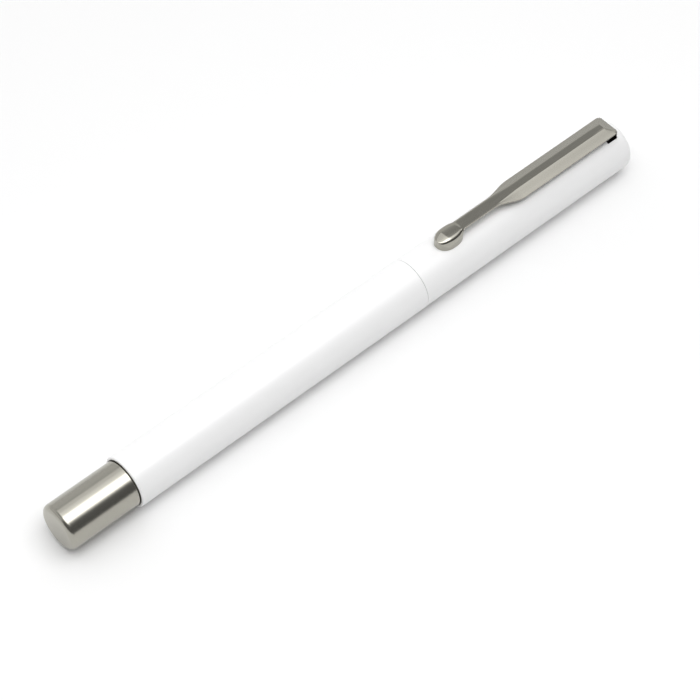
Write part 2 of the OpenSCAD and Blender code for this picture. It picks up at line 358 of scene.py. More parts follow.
def fibre(name, dry, ink, dry_to, wet_from, stretch):
    """Bundled fibres that are dry as far as one station along the pen and soaked with ink beyond another."""
    finish = Finish(name)
    along = finish.add("ShaderNodeSeparateXYZ", None, {"Vector": finish.place})
    threads = finish.streaks(stretch, 4.0, 0.7)
    blots = finish.noise(finish.place, 700.0, 3.0)
    soak = finish.ramp(along + (blots - 0.5) * (4 * MM), dry_to * MM, wet_from * MM)
    wet = finish.mix(blots, rgba(ink, 0.7), rgba(ink, 1.35))
    clean = finish.mix(threads, rgba(dry, 0.8), rgba(dry, 1.1))
    return finish.close(
        {"Sheen Weight": 0.15},
        Base_Color=finish.mix(soak, clean, wet),
        Roughness=0.85 - soak * 0.25 + (threads - 0.5) * 0.15,
        Normal=finish.bump(threads, 0.03 * MM),
    )


def rubber(name):
    """Black moulded rubber with a dry bloom."""
    finish = Finish(name)
    bloom = finish.noise(finish.place, 900.0, 4.0)
    return finish.close(
        Base_Color=finish.mix(bloom, (0.012, 0.012, 0.012, 1), (0.05, 0.05, 0.048, 1)),
        Roughness=0.5 + bloom * 0.3,
        Normal=finish.bump(bloom, 0.01 * MM),
    )


def floor_card(name, colour):
    """Pale card with the slightest tooth."""
    finish = Finish(name)
    tooth = finish.noise(finish.place, 1800.0, 3.0)
    drift = finish.noise(finish.place, 14.0, 2.0)
    return finish.close(
        Base_Color=finish.mix(drift, rgba(colour, 0.985), rgba(colour, 1.0)),
        Roughness=0.62 + (tooth - 0.5) * 0.1,
        Normal=finish.bump(tooth, 0.004 * MM),
    )


def finish_of(slot):
    """The finish made for one of the record's material slots."""
    return bpy.data.materials[slot + "_finish"]


def finishes(colours):
    """Makes the finish of every material slot in the record."""
    if "white_plastic_finish" in bpy.data.materials:
        return
    nib_x0 = span("fibre_nib")[0]
    core_x0 = span("ink_reservoir")[0]
    gloss_plastic("white_plastic", colours.plastic, 0.3, 0.004)
    gloss_plastic("section_plastic", colours.section, 0.36, 0.008)
    brushed_steel("clip_steel", colours.steel, (260, 7000, 7000), 0.17, 0.0012)
    brushed_steel("cup_steel", colours.steel, (13000, 420, 420), 0.21, 0.004)
    polished_metal("trim_steel", colours.bright_steel, 0.1)
    polished_metal("spring_steel", colours.bright_steel, 0.16)
    polished_metal("brass", colours.brass, 0.2)
    dull_plastic("dark_plastic", colours.dark, 0.42)
    translucent_plastic("liner_plastic", (0.83, 0.85, 0.85), 0.72, 0.86, 0.32)
    translucent_plastic("clear_plastic", (0.8, 0.83, 0.82), 0.28, 0.4, 0.08)
    translucent_plastic("film", (0.85, 0.84, 0.8), 0.35, 0.5, 0.14)
    rubber("seal_rubber")
    fibre("nib_fibre", (0.7, 0.6, 0.42), colours.ink, nib_x0 - 8, nib_x0 - 4, (500, 9000, 9000))
    fibre("reservoir_fibre", (0.78, 0.74, 0.66), colours.ink, core_x0 + 16, core_x0 + 30, (300, 6000, 6000))


# ---------------------------------------------------------------- mesh work


def rounded(corners, steps=6):
    """Outline through (x, radius, rounding) corners, each rounding an arc of that radius."""
    count = len(corners)
    outline = []
    for i, (x, r, edge) in enumerate(corners):
        here = Vector((x, r))
        if edge <= 0:
            outline.append(here)
            continue
        back = (Vector(corners[i - 1][:2]) - here).normalized()
        ahead = (Vector(corners[(i + 1) % count][:2]) - here).normalized()
        half = back.angle(ahead) / 2
        middle = here + (back + ahead).normalized() * edge / math.sin(half)
        start = here + back * edge / math.tan(half) - middle
        finish = here + ahead * edge / math.tan(half) - middle
        sweep = start.angle_signed(finish)
        for k in range(steps + 1):
            outline.append(middle + Matrix.Rotation(-sweep * k / steps, 2) @ start)
    return [(p.x, max(p.y, 0.0)) for p in outline]


def new_object(name, mesh):
    made = bpy.data.objects.new(name, mesh)
    bpy.context.scene.collection.objects.link(made)
    return made


def mesh_from(shape, name):
    """A mesh from a bmesh whose doubles are merged and whose faces are turned outwards."""
    bmesh.ops.remove_doubles(shape, verts=shape.verts, dist=1e-7)
    bmesh.ops.recalc_face_normals(shape, faces=shape.faces)
    mesh = bpy.data.meshes.new(name)
    shape.to_mesh(mesh)
    shape.free()
    return mesh


def ring_at(shape, x, loop):
    """A ring of vertices at x, from (y, z) points in millimetres that are measured from the pen's axis."""
    return [shape.verts.new((x * MM, y * MM, (AXIS_Z + z) * MM)) for y, z in loop]


def skin(shape, rings):
    """Faces from each closed ring of vertices to the next."""
    for low, high in zip(rings, rings[1:]):
        for k in range(len(low)):
            n = (k + 1) % len(low)
            shape.faces.new((low[k], low[n], high[n], high[k]))


def turned(name, outline, segments):
    """A solid of revolution round the pen's axis, from a closed (x, radius) outline in millimetres."""
    shape = bmesh.new()
    rings = []
    for x, r in outline:
        count = segments if r > 1e-6 else 1
        turns = [2 * math.pi * k / segments for k in range(count)]
        rings.append([
            shape.verts.new((x * MM, r * MM * math.sin(t), (AXIS_Z + r * math.cos(t)) * MM)) for t in turns
        ])
    for low, high in zip(rings, rings[1:] + rings[:1]):
        if len(low) == 1 and len(high) == 1:
            continue
        for k in range(segments):
            n = (k + 1) % segments
            corners = [low[k % len(low)], low[n % len(low)], high[n % len(high)], high[k % len(high)]]
            shape.faces.new(list(dict.fromkeys(corners)))
    return new_object(name, mesh_from(shape, name))


def smooth(piece, angle=28.0):
    """Smooth shading that keeps edges sharper than the angle, and flats that stay flat."""
    piece.data.shade_smooth()
    piece.data.set_sharp_from_angle(angle=math.radians(angle))
    weighted = piece.modifiers.new("flats", "WEIGHTED_NORMAL")
    weighted.keep_sharp = True
    return piece


def applied(piece):
    """The piece with its modifiers worked into a plain mesh."""
    bpy.context.view_layer.update()
    evaluated = piece.evaluated_get(bpy.context.evaluated_depsgraph_get())
    mesh = bpy.data.meshes.new_from_object(evaluated)
    mesh.name = piece.name
    piece.modifiers.clear()
    piece.data = mesh
    return piece


def fitted(piece, body, slot, nodes=()):
    """Gives a finished piece its material and its body, and hides the CAD nodes that it stands for."""
    piece.data.materials.clear()
    piece.data.materials.append(finish_of(slot))
    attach(piece, body)
    if nodes:
        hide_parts(*nodes)
    return piece


def lathed(name, outline, segments, body, slot, node):
    """A turned piece that stands for one CAD node, smoothed and fitted."""
    return fitted(smooth(turned(name, outline, segments)), body, slot, [node])


def cut_box(piece, low, high):
    """Cuts a box, given by its corners in millimetres, out of a closed piece."""
    shape = bmesh.new()
    middle = (Vector(low) + Vector(high)) / 2 * MM
    size = (Vector(high) - Vector(low)) * MM
    bmesh.ops.create_cube(shape, size=1.0, matrix=Matrix.LocRotScale(middle, None, size))
    cutter = new_object("cutter", mesh_from(shape, "cutter"))
    cut = piece.modifiers.new("slot", "BOOLEAN")
    cut.operation = "DIFFERENCE"
    cut.solver = "EXACT"
    cut.object = cutter
    applied(piece)
    bpy.data.objects.remove(cutter)
    return piece


# ---------------------------------------------------------------- geometry node trees


class Growth(Nodes):
    """A geometry node tree with named inputs, which ends in Realize Instances and Set Material."""

    def __init__(self, name, floats, counts=()):
        super().__init__(bpy.data.node_groups.new(name, "GeometryNodeTree"))
        self.ids = {}
        panel = self.tree.interface
        kinds = {label: "NodeSocketFloat" for label in floats}
        kinds.update({label: "NodeSocketInt" for label in counts}, Finish="NodeSocketMaterial")
        for label, kind in kinds.items():
            self.ids[label] = panel.new_socket(name=label, in_out="INPUT", socket_type=kind).identifier
        panel.new_socket(name="Geometry", in_out="OUTPUT", socket_type="NodeSocketGeometry")
        entry = self.tree.nodes.new("NodeGroupInput")
        self.inputs = {label: Wire(self, entry.outputs[label]) for label in self.ids}

    def vector(self, x=0.0, y=0.0, z=0.0):
        return self.add("ShaderNodeCombineXYZ", None, {"X": x, "Y": y, "Z": z})

    def close(self, geometry):
        solid = self.add("GeometryNodeRealizeInstances", None, {"Geometry": geometry})
        sockets = {"Geometry": solid, "Material": self.inputs["Finish"]}
        painted = self.add("GeometryNodeSetMaterial", None, sockets)
        self.add("NodeGroupOutput", None, {"Geometry": painted})
        return self

    def grow(self, name, slot, **values):
        """A plain mesh object made by the tree from values for its inputs."""
        made = new_object(name, bpy.data.meshes.new(name))
        modifier = made.modifiers.new("growth", "NODES")
        modifier.node_group = self.tree
        for label, value in values.items():
            modifier[self.ids[label.replace("_", " ")]] = value
        modifier[self.ids["Finish"]] = finish_of(slot)
        return applied(made)


def wound_wire():
    """A wire or thread wound round the pen's axis, whose end turns can lie closed and whose ends can fade."""
    floats = ["Radius", "Start", "Length", "Turns", "Half width", "Half depth", "End rise", "End fade"]
    tree = Growth("wound wire", floats)
    given = tree.inputs
    circle = tree.add("GeometryNodeCurveSpiral", None, {
        "Resolution": 56, "Rotations": given["Turns"], "Start Radius": given["Radius"],
        "End Radius": given["Radius"], "Height": 0.0})
    along = tree.add("GeometryNodeSplineParameter")
    end = 1.0 / given["Turns"]
    first = tree.clamped(along / end)
    last = tree.clamped((along - 1.0 + end) / end)
    middle = tree.clamped((along - end) / (1.0 - end * 2.0))
    rise = (first + last) * given["End rise"] + middle * (given["Length"] - given["End rise"] * 2.0)
    wound = tree.add("GeometryNodeSetPosition", None, {"Geometry": circle, "Offset": tree.vector(z=rise)})
    upright = tree.add("GeometryNodeSetCurveNormal", {"mode": "Z_UP"}, {"Curve": wound})
    outline = tree.add("GeometryNodeCurvePrimitiveCircle", None, {"Resolution": 12, "Radius": 1.0})
    shape = tree.add("GeometryNodeTransform", None, {
        "Geometry": outline, "Scale": tree.vector(given["Half depth"], given["Half width"], 1.0)})
    nearest_end = tree.math("MINIMUM", along, 1.0 - along)
    fade = tree.clamped(nearest_end / tree.math("MAXIMUM", given["End fade"], 1e-5))
    swept = tree.add("GeometryNodeCurveToMesh", None, {
        "Curve": upright, "Profile Curve": shape, "Scale": fade * 0.9 + 0.1, "Fill Caps": True})
    laid = tree.add("GeometryNodeTransform", None, {
        "Geometry": swept, "Rotation": (0.0, math.pi / 2, 0.0),
        "Translation": tree.vector(given["Start"], 0.0, AXIS_Z * MM)})
    return tree.close(laid)


def ring_row():
    """Rings in a row along the pen, whose radius changes evenly from the first to the last."""
    floats = ["Start", "Spacing", "First radius", "Last radius", "Half width", "Height"]
    tree = Growth("ring row", floats, ["Count"])
    given = tree.inputs
    row = tree.add("GeometryNodeMeshLine", None, {
        "Count": given["Count"], "Start Location": tree.vector(given["Start"], 0.0, AXIS_Z * MM),
        "Offset": tree.vector(given["Spacing"])})
    path = tree.add("GeometryNodeCurvePrimitiveCircle", None, {"Resolution": 128, "Radius": 1.0})
    outline = tree.add("GeometryNodeCurvePrimitiveCircle", None, {"Resolution": 14, "Radius": 1.0})
    flat = tree.add("GeometryNodeTransform", None, {
        "Geometry": outline,
        "Scale": tree.vector(given["Height"] / given["First radius"], given["Half width"], 1.0)})
    ring = tree.add("GeometryNodeCurveToMesh", None, {"Curve": path, "Profile Curve": flat})
    upright = tree.add("GeometryNodeTransform", None, {
        "Geometry": ring, "Rotation": (0.0, math.pi / 2, 0.0)})
    place = tree.add("GeometryNodeInputIndex") / (given["Count"] - 1.0)
    radius = given["First radius"] + place * (given["Last radius"] - given["First radius"])
    rings = tree.add("GeometryNodeInstanceOnPoints", None, {
        "Points": row, "Instance": upright, "Scale": tree.vector(1.0, radius, radius)})
    return tree.close(rings)


def rib_circle():
    """Straight ribs that lie along the pen, evenly spaced on a circle round its axis."""
    floats = ["Start", "Length", "Radius", "Rib radius"]
    tree = Growth("rib circle", floats, ["Count"])
    given = tree.inputs
    circle = tree.add("GeometryNodeMeshCircle", None, {"Vertices": given["Count"], "Radius": given["Radius"]})
    rod = tree.add("GeometryNodeMeshCylinder", None, {
        "Vertices": 12, "Radius": given["Rib radius"], "Depth": given["Length"]})
    ribs = tree.add("GeometryNodeInstanceOnPoints", None, {"Points": circle, "Instance": rod})
    laid = tree.add("GeometryNodeTransform", None, {
        "Geometry": ribs, "Rotation": (0.0, math.pi / 2, 0.0),
        "Translation": tree.vector(given["Start"] + given["Length"] * 0.5, 0.0, AXIS_Z * MM)})
    return tree.close(laid)


# ---------------------------------------------------------------- barrel and tail


SOCKET_DEPTH = 4.0


def make_barrel_tube(sizes):
    """The white tube, with softly rounded rims, a lip round the cup and a counterbore for the tail plug."""
    soft = sizes.rim_round / MM
    socket_x = BARREL_X0 + SOCKET_DEPTH
    lip_r = SOCKET_R - 0.15
    lip_x = BARREL_X0 + 1.4
    outline = rounded([
        (BARREL_X0, lip_r, 0.1), (BARREL_X0, BARREL_R, 0.3),
        (BARREL_X1, BARREL_R, soft), (BARREL_X1, BORE_R, 0.1),
        (socket_x, BORE_R, 0), (socket_x, SOCKET_R, 0),
        (lip_x, SOCKET_R, 0), (lip_x, lip_r, 0),
    ])
    lathed("barrel_shell", outline, 192, "barrel", "white_plastic", "barrel_tube")


def make_tail_plug():
    """The dark plug that sits in the barrel's socket and carries the cup on its spigot."""
    x0, x1, r = span("tail_plug")
    flange0 = BARREL_X0 + 1.52
    flange1 = BARREL_X0 + SOCKET_DEPTH - FIT
    spigot_r = span("tail_cup")[2] - 0.42
    neck0 = BARREL_X0 - 0.72
    outline = rounded([
        (x0, 3.3, 0), (x0, spigot_r, 0.3), (neck0, spigot_r, 0), (neck0 + 0.1, spigot_r - 0.2, 0),
        (flange0, spigot_r - 0.2, 0), (flange0, r, 0.12), (flange1, r, 0.08), (flange1, BORE_R - FIT, 0),
        (x1, BORE_R - FIT, 0.3), (x1, 0, 0), (x1 - 2.5, 0, 0), (x1 - 2.5, 3.3, 0.4),
    ])
    lathed("tail_insert", outline, 96, "barrel", "dark_plastic", "tail_plug")


def make_bush():
    """The brass bush that lines the barrel's mouth."""
    x0, x1, r = span("thread_bush")
    outline = rounded([(x0, 4.0, 0.1), (x0, r, 0.12), (x1, r, 0.12), (x1, 4.0, 0.1)])
    lathed("brass_bush", outline, 128, "barrel", "brass", "thread_bush")


def make_cup(sizes):
    """The deep-drawn steel cup: flat end, rounded edge, and a mouth rolled in over the plug."""
    x0, x1, r = span("tail_cup")
    edge = sizes.cup_edge / MM
    neck = BARREL_X0 - 0.14
    sheet = 0.4
    outline = rounded([
        (x0, 0, 0), (x0, r, edge), (neck, r, 0.12), (neck + 0.02, r - 0.2, 0), (x1, r - 0.2, 0.08),
        (x1, r - 0.2 - sheet, 0.08), (neck - sheet, r - 0.2 - sheet, 0), (neck - sheet, r - sheet, 0),
        (x0 + sheet, r - sheet, edge - sheet), (x0 + sheet, 0, 0),
    ], steps=12)
    lathed("steel_tail_cup", outline, 192, "barrel", "cup_steel", "tail_cup")


# ---------------------------------------------------------------- cap


def clip_slot():
    """The two corners of the slot that lets the clip's tang into the cap and its block."""
    tang_x1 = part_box("clip")[1].x / MM
    return (tang_x1 - 2.4, -2.4, AXIS_Z + 2.0), (tang_x1 + 0.12, 2.4, AXIS_Z + CAP_R + 1)


def make_cap_shell(sizes):
    """The white cap, closed and rounded at its end, with its slot for the clip."""
    edge = sizes.cap_edge / MM
    soft = sizes.rim_round / MM
    floor_x = span("clip_anchor")[1] + RUN
    outline = rounded([
        (CAP_X0, CAP_BORE_R, 0.22), (CAP_X0, CAP_R, soft), (CAP_X1, CAP_R, edge), (CAP_X1, 0, 0),
        (floor_x, 0, 0), (floor_x, CAP_BORE_R, 0.35),
    ], steps=12)
    shell = cut_box(turned("cap_body", outline, 192), *clip_slot())
    fitted(smooth(shell), "cap", "white_plastic", ["cap_shell"])


def make_anchor():
    """The dark block in the cap's closed end that holds the clip's tang."""
    x0, x1, r = span("clip_anchor")
    outline = rounded([
        (x0, 1.2, 0.15), (x0, r, 0.4), (x1, r, 0.3), (x1, 0, 0), (x1 - 1.5, 0, 0), (x1 - 1.5, 1.2, 0),
    ])
    block = cut_box(turned("anchor_block", outline, 96), *clip_slot())
    fitted(smooth(block), "cap", "dark_plastic", ["clip_anchor"])


def make_liner(sizes):
    """The milky liner that seals the nib, with the guide ribs that centre it in the cap."""
    x0, x1, r = span("inner_cap")
    bore, wall_r = 3.68, r - 0.12
    outline = rounded([
        (x0, bore, 0.25), (x0, wall_r, 0.15), (x1, wall_r, 0.5), (x1, 0, 0), (x1 - 0.8, 0, 0),
        (x1 - 0.8, bore, 1.4),
    ])
    lathed("cap_liner", outline, 128, "cap", "liner_plastic", "inner_cap")
    guides = rib_circle().grow(
        "liner_guides", "liner_plastic", Start=(x0 + 0.4) * MM, Length=(x1 - x0 - 1.2) * MM,
        Radius=wall_r * MM, Rib_radius=0.11 * MM, Count=sizes.liner_guides)
    fitted(smooth(guides), "cap", "liner_plastic")


# ---------------------------------------------------------------- clip


PAD_X = 9.6
PAD_HALF = 3.1
PAD_HALF_WIDTH = 2.0
NECK_END = 20.3
SHOULDER_END = 26.6
MITRE_X = 49.1
CLIP_END = 51.18
END_CORNER = 0.85
END_CORNER_X = CLIP_END - END_CORNER
NECK_HALF_WIDTH = 1.34
BROAD_HALF_WIDTH = 2.7
NECK_HALF_CREST = 1.02
BROAD_HALF_CREST = 0.75
NECK_EDGE_Z = 7.18
BROAD_EDGE_Z = 6.4
CREST_Z = 7.4
MITRE_DROP = 1.02


def share(x, low, high):
    """How far x is on its way from low to high, from 0 to 1."""
    return min(1.0, max(0.0, (x - low) / (high - low)))


def ease(t):
    """A share whose change starts and ends gently."""
    return t * t * (3 - 2 * t)


def between(low, high, t):
    """The value at share t of the way from low to high."""
    return low + (high - low) * t


def corner_inset(x):
    """How far the clip's rounded end corners draw in from its sides, x from the cap's mouth."""
    return END_CORNER * (1 - math.sqrt(1 - share(x, END_CORNER_X, CLIP_END) ** 2))


def clip_plan(x):
    """Half width, lower edge, crest height, half crest and roundness of the clip, x from the cap's mouth."""
    shoulder = ease(share(x, NECK_END, SHOULDER_END))
    bevel = share(x, MITRE_X, CLIP_END)
    width = between(NECK_HALF_WIDTH, BROAD_HALF_WIDTH, shoulder)
    crest = between(NECK_HALF_CREST, BROAD_HALF_CREST, shoulder)
    top = CREST_Z - MITRE_DROP * bevel
    low = between(NECK_EDGE_Z, BROAD_EDGE_Z, shoulder)
    crest = between(crest, width - 0.03, bevel)
    width -= corner_inset(x)
    reach = abs(x - PAD_X) / PAD_HALF
    if reach >= 1:
        return width, low, top, crest, 0.0
    oval = PAD_HALF_WIDTH * (1 - reach ** 2.3) ** (1 / 2.3)
    wrap = ease(share(oval - width, 0.0, 0.35)) if x > PAD_X else 1.0
    width = max(width, oval) if x > PAD_X else max(oval, 0.05)
    drop = math.sqrt(max((CAP_R + 0.06) ** 2 - width ** 2, 0))
    low = between(low, drop, wrap)
    nose = 1 - ease(share(x, PAD_X - PAD_HALF, PAD_X - 1.2))
    top += 0.08 * wrap - 0.55 * nose * wrap
    crest = between(crest, width * 0.72, wrap)
    return width, low, top, crest, wrap


def clip_half(plan, inset):
    """Points of one half of the clip's cross-section, from its lower edge to its middle."""
    width, low, top, crest, roundness = plan
    width = max(width - inset * (0.35 + 0.65 * roundness), 0.01)
    low -= inset * (1 - roundness)
    top -= inset
    crest = max(min(crest - inset * 0.3 * roundness, width - 0.005), 0.004)
    soft = 0.06
    flat = [(width, low), (width - soft * 0.4, low + soft * 0.6)]
    flat += [(between(width, crest, t), between(low, top, t)) for t in (0.25, 0.5, 0.75, 0.94)]
    flat += [(crest * 0.97, top - 0.012)]
    flat += [(crest * part, top) for part in (0.88, 0.6, 0.3, 0.0)]
    power = 2 / 3.4
    count = len(flat) - 1
    wall = 0.3
    base = between(low, top, 0.42)
    domed = []
    for k in range(count + 1):
        t = k / count
        if t < wall:
            domed.append((width, between(low, base, t / wall)))
        else:
            turn = (t - wall) / (1 - wall) * math.pi / 2
            domed.append((width * math.cos(turn) ** power, between(base, top, math.sin(turn) ** power)))
    return [
        (between(f[0], d[0], roundness), between(f[1], d[1], roundness)) for f, d in zip(flat, domed)
    ]


def clip_ring(x, sheet):
    """The whole closed cross-section of the clip's sheet at one station."""
    plan = clip_plan(x)
    outer, inner = clip_half(plan, 0.0), clip_half(plan, sheet)
    loop = [(y, z) for y, z in outer] + [(-y, z) for y, z in reversed(outer[:-1])]
    loop += [(-y, z) for y, z in inner] + [(y, z) for y, z in reversed(inner[:-1])]
    return loop


def clip_stations():
    """Where the clip's cross-sections lie: closest round the pad, the shoulder and the end's corners."""
    pad = [PAD_X - PAD_HALF * math.cos(math.pi * k / 40) for k in range(1, 40)]
    neck0 = PAD_X + PAD_HALF
    neck = [neck0 + (NECK_END - neck0) * k / 6 for k in range(7)]
    shoulder = [NECK_END + (SHOULDER_END - NECK_END) * k / 14 for k in range(1, 15)]
    broad = [SHOULDER_END + (MITRE_X - SHOULDER_END) * k / 8 for k in range(1, 9)]
    corner = [END_CORNER_X + END_CORNER * math.sin(math.pi / 2 * k / 8) for k in range(9)]
    return pad + neck + shoulder + broad + [MITRE_X + 0.06, MITRE_X + 1] + corner


def make_clip(sizes):
    """The clip: one strip of sheet with an oval pad, a neck, a shoulder, three facets and a mitred end."""
    sheet = sizes.clip_sheet / MM
    shape = bmesh.new()
    rings = [ring_at(shape, CAP_X0 + x, clip_ring(x, sheet)) for x in clip_stations()]
    skin(shape, rings)
    half = len(rings[0]) // 2
    for ring in (rings[0], rings[-1]):
        for k in range(half - 1):
            corners = (ring[k], ring[k + 1], ring[-2 - k], ring[-1 - k])
            shape.faces.new(corners)
    strip = new_object("pocket_clip", mesh_from(shape, "pocket_clip"))
    fitted(smooth(strip, 24.0), "clip", "clip_steel", ["clip"])
    make_clip_plate(sheet)


def make_clip_plate(sheet):
    """The end of the strip: turned down along the cap's surface, with a narrow tang that enters the cap."""
    x1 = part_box("clip")[1].x / MM
    low = CAP_R + 0.1
    edge, tang, foot = BROAD_HALF_WIDTH, 1.8, 2.2
    arc = [(y, math.sqrt(low ** 2 - y ** 2)) for y in (edge, 2.4, 2.1, tang)]
    half = [(edge, BROAD_EDGE_Z)] + arc + [(tang, foot + 0.3), (tang - 0.3, foot)]
    loop = half + [(-y, z) for y, z in reversed(half)]
    shape = bmesh.new()
    sides = []
    for k in range(7):
        x = x1 - sheet * (1 - math.sin(math.pi / 2 * k / 6))
        narrow = 1 - corner_inset(CLIP_END - x1 + x) / edge
        sides.append(ring_at(shape, x, [(y * narrow, z) for y, z in loop]))
    skin(shape, sides)
    shape.faces.new(sides[0])
    shape.faces.new(sides[-1])
    plate = new_object("clip_tang", mesh_from(shape, "clip_tang"))
    bevel = plate.modifiers.new("edges", "BEVEL")
    bevel.width = 0.05 * MM
    bevel.segments = 3
    bevel.limit_method = "ANGLE"
    fitted(smooth(plate), "clip", "clip_steel")


# ---------------------------------------------------------------- writing section


def wire_outline(x, radius, wire, steps=20):
    """The round cross-section of a wire ring, as a turned outline."""
    turns = [2 * math.pi * k / steps for k in range(steps)]
    return [(x + wire * math.sin(t), radius + wire * math.cos(t)) for t in turns]


SPIGOT_R = 3.92
THREAD_R = 3.62
SNOUT_R = 1.83
NOSE_BORE_R = 2.6
COLLAR_X0 = span("trim_ring")[1] + RUN
COLLAR_X1 = COLLAR_X0 + 3.5
NOSE_X0 = span("nose_cone")[0] - FIT
GRIP_REAR_R = 4.05
GRIP_FRONT_R = 3.45
RIBS_X0 = COLLAR_X1 + 3.6
RIBS_X1 = NOSE_X0 - 4.0
RIB_HEIGHT = 0.25


def grip_r(x):
    """Radius of the tapered grip at a place along the pen."""
    return between(GRIP_REAR_R, GRIP_FRONT_R, (x - COLLAR_X1) / (NOSE_X0 - COLLAR_X1))


def make_grip():
    """The writing section's body: threaded spigot, collar with the snap ring's groove, grip and snout."""
    x0, x1, collar_r = span("grip_section")
    ring0, ring1, ring_r = span("snap_ring")
    seal0, seal1, seal_r = span("nose_seal")
    bore = CARTRIDGE_R + RUN
    seat = NOSE_X0 - 1.95
    outline = rounded([
        (x0, bore, 0.15), (x0, THREAD_R, 0.25), (BARREL_X1 - 2, THREAD_R, 0), (BARREL_X1 - 2, SPIGOT_R, 0.1),
        (COLLAR_X0, SPIGOT_R, 0), (COLLAR_X0, collar_r, 0.15),
        (ring0 - RUN, collar_r, 0.05), (ring0 - RUN, ring_r - 0.75, 0),
        (ring1 + RUN, ring_r - 0.75, 0), (ring1 + RUN, collar_r, 0.05),
        (COLLAR_X1, collar_r, 0.12), (COLLAR_X1, grip_r(COLLAR_X1), 0.08),
        (RIBS_X0, grip_r(RIBS_X0), 0.3), (RIBS_X0 + 0.3, grip_r(RIBS_X0) - RIB_HEIGHT, 0.1),
        (RIBS_X1 - 0.3, grip_r(RIBS_X1) - RIB_HEIGHT, 0.1), (RIBS_X1, grip_r(RIBS_X1), 0.3),
        (seal0 - FIT, grip_r(seal0), 0.04), (seal0 - FIT, seal_r - 0.72, 0),
        (seal1 + FIT, seal_r - 0.72, 0), (seal1 + FIT, grip_r(seal1), 0.04),
        (NOSE_X0, GRIP_FRONT_R, 0.06), (NOSE_X0, NOSE_BORE_R, 0), (x1, NOSE_BORE_R, 0.2), (x1, SNOUT_R, 0.1),
        (seat, SNOUT_R, 0), (seat, bore, 0),
    ])
    lathed("writing_grip", outline, 160, "writing_section", "section_plastic", "grip_section")


def make_grip_ribs(sizes):
    """The soft ribs round the grip, which grow smaller with its taper."""
    first, last = RIBS_X0 + 0.8, RIBS_X1 - 0.8
    count = sizes.grip_ribs
    rings = ring_row().grow(
        "grip_ribs", "section_plastic", Start=first * MM, Spacing=(last - first) / (count - 1) * MM,
        First_radius=(grip_r(first) - RIB_HEIGHT) * MM, Last_radius=(grip_r(last) - RIB_HEIGHT) * MM,
        Half_width=0.52 * MM, Height=RIB_HEIGHT * MM, Count=count)
    fitted(smooth(rings, 60.0), "writing_section", "section_plastic")


def make_trim_ring():
    """The bright ring between barrel and cap, with one fine groove."""
    x0, x1, r = span("trim_ring")
    outline = rounded([
        (x0, SPIGOT_R + FIT, 0), (x0, r, 0.14), (x0 + 0.85, r, 0.04), (x0 + 0.97, r - 0.14, 0.04),
        (x0 + 1.09, r, 0.04), (x1, r, 0.14), (x1, SPIGOT_R + FIT, 0),
    ])
    lathed("steel_trim_ring", outline, 160, "writing_section", "trim_steel", "trim_ring")


def make_nose():
    """The steel nose cone round the nib."""
    x0, x1, r = span("nose_cone")
    tip = NIB_R + 0.55
    root = NOSE_BORE_R + FIT
    outline = rounded([
        (x0, root, 0), (x0, r, 0.08), (x0 + 1, r, 0.4), (x1 - 0.3, tip + 0.15, 0.3), (x1, tip, 0.2),
        (x1, NIB_R + RUN, 0.08), (x1 - 2.9, NIB_R + RUN, 0), (x1 - 2.9, SNOUT_R, 0), (x0 + 3.0, SNOUT_R, 0),
        (x0 + 3.0, root, 0),
    ])
    lathed("steel_nose", outline, 160, "writing_section", "trim_steel", "nose_cone")


def make_o_ring():
    """The rubber ring behind the nose, which the cap's liner seals on."""
    x0, x1, r = span("nose_seal")
    outline = wire_outline((x0 + x1) / 2, r - 0.35, 0.35)
    lathed("nose_o_ring", outline, 128, "writing_section", "seal_rubber", "nose_seal")


def make_snap_ring():
    """The split wire ring that the cap clicks over."""
    x0, x1, r = span("snap_ring")
    wire = 0.35
    snap = wound_wire().grow(
        "snap_wire", "spring_steel", Radius=(r - wire) * MM, Start=(x0 + x1) / 2 * MM, Length=0.0,
        Turns=0.917, Half_width=wire * MM, Half_depth=wire * MM, End_rise=0.0, End_fade=0.0)
    fitted(smooth(snap, 40.0), "snap_ring", "spring_steel", ["snap_ring"])


def make_threads(sizes):
    """The helical threads that join the barrel to the writing section."""
    turns = sizes.thread_turns
    start = span("thread_bush")[0]
    shared = {
        "Length": turns * MM, "Turns": float(turns), "Half_width": 0.27 * MM,
        "End_rise": MM, "End_fade": 0.06}
    tree = wound_wire()
    outer = tree.grow(
        "section_thread", "section_plastic", Radius=THREAD_R * MM, Start=(start + 0.3) * MM,
        Half_depth=0.29 * MM, **shared)
    fitted(smooth(outer, 60.0), "writing_section", "section_plastic")
    inner = tree.grow(
        "bush_thread", "brass", Radius=4.06 * MM, Start=(start + 0.85) * MM, Half_depth=0.05 * MM, **shared)
    fitted(smooth(inner, 60.0), "barrel", "brass")


# ---------------------------------------------------------------- cartridge and spring


TUBE_BORE_R = 2.3
NIB_SEAT = 3.52


def make_tube():
    """The cartridge's clear tube."""
    x0, x1, r = span("cartridge_tube")
    outline = rounded([
        (x0, TUBE_BORE_R, 0.12), (x0, r, 0.12), (x1, r, 0.12), (x1, TUBE_BORE_R, 0.12),
    ])
    lathed("clear_tube", outline, 96, "refill", "clear_plastic", "cartridge_tube")


def make_nib_holder():
    """The plug in the tube's front end, with a flange and the snout that grips the nib."""
    x0, x1, _ = span("nib_holder")
    flange0 = span("cartridge_tube")[1]
    flange1 = flange0 + 1.45
    plug_r = TUBE_BORE_R - FIT
    outline = rounded([
        (x0, NIB_R + FIT, 0.1), (x0, plug_r, 0.3), (flange0 + FIT, plug_r, 0),
        (flange0 + FIT, CARTRIDGE_R, 0.15), (flange1, CARTRIDGE_R, 0.2), (flange1, 1.78, 0),
        (x1, 1.78, 0.35), (x1, NIB_R + FIT, 0.05),
    ])
    lathed("nib_carrier", outline, 96, "refill", "section_plastic", "nib_holder")


